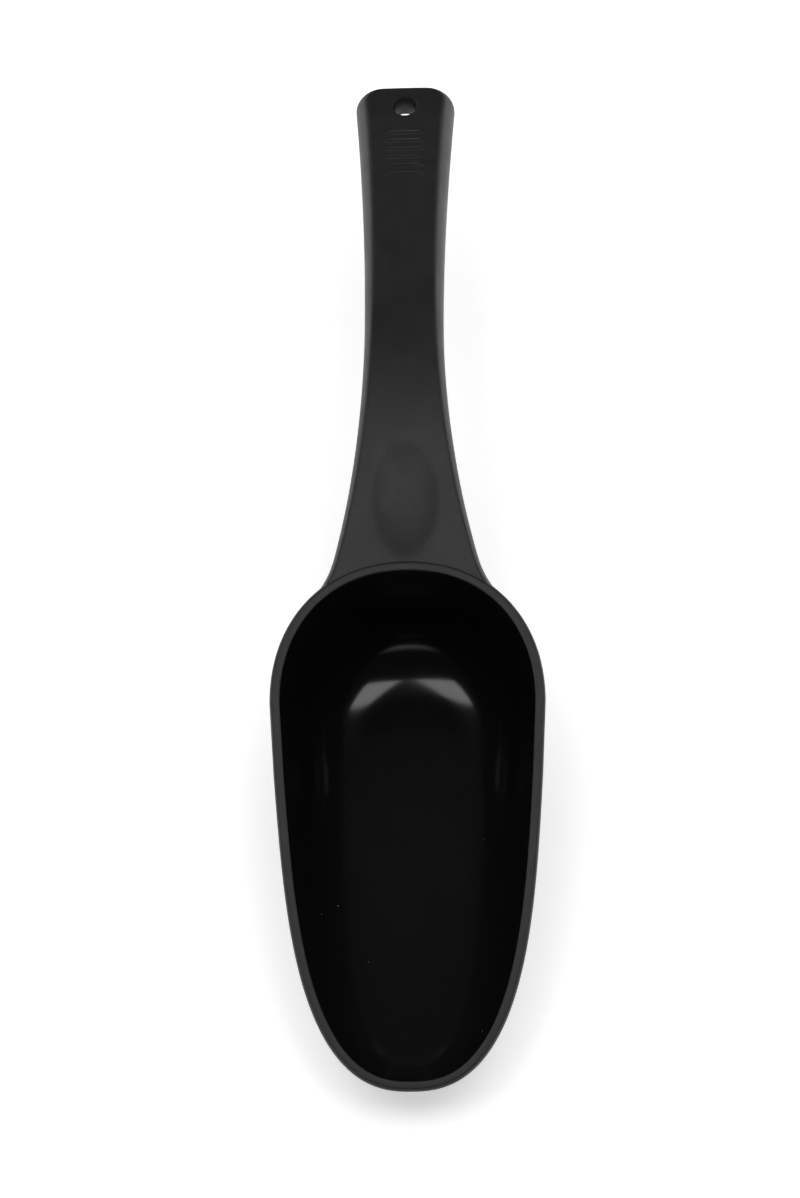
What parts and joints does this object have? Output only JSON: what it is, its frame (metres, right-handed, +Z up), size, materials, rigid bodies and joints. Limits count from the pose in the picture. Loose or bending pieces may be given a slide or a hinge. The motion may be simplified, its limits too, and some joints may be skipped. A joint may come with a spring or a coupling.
{
  "type": "hand scoop",
  "caption": "Hand scoop with a deep rounded bowl, a flat rim, a thumb rest and a handle with a hanging hole.",
  "frame": {"origin": "centre of the bounding box, on the surface that the flat of the bowl's floor stands on", "axes": "+Y from the tip of the bowl to the end of the handle, +Z up out of the bowl, +X to the right"},
  "size_m": [0.0838, 0.329, 0.0781],
  "materials": {
    "black_plastic": "fine grain outside and on the handle, polished inside the bowl"
  },
  "bodies": {
    "root": {"scoop": "black_plastic"}
  },
  "joints": []
}
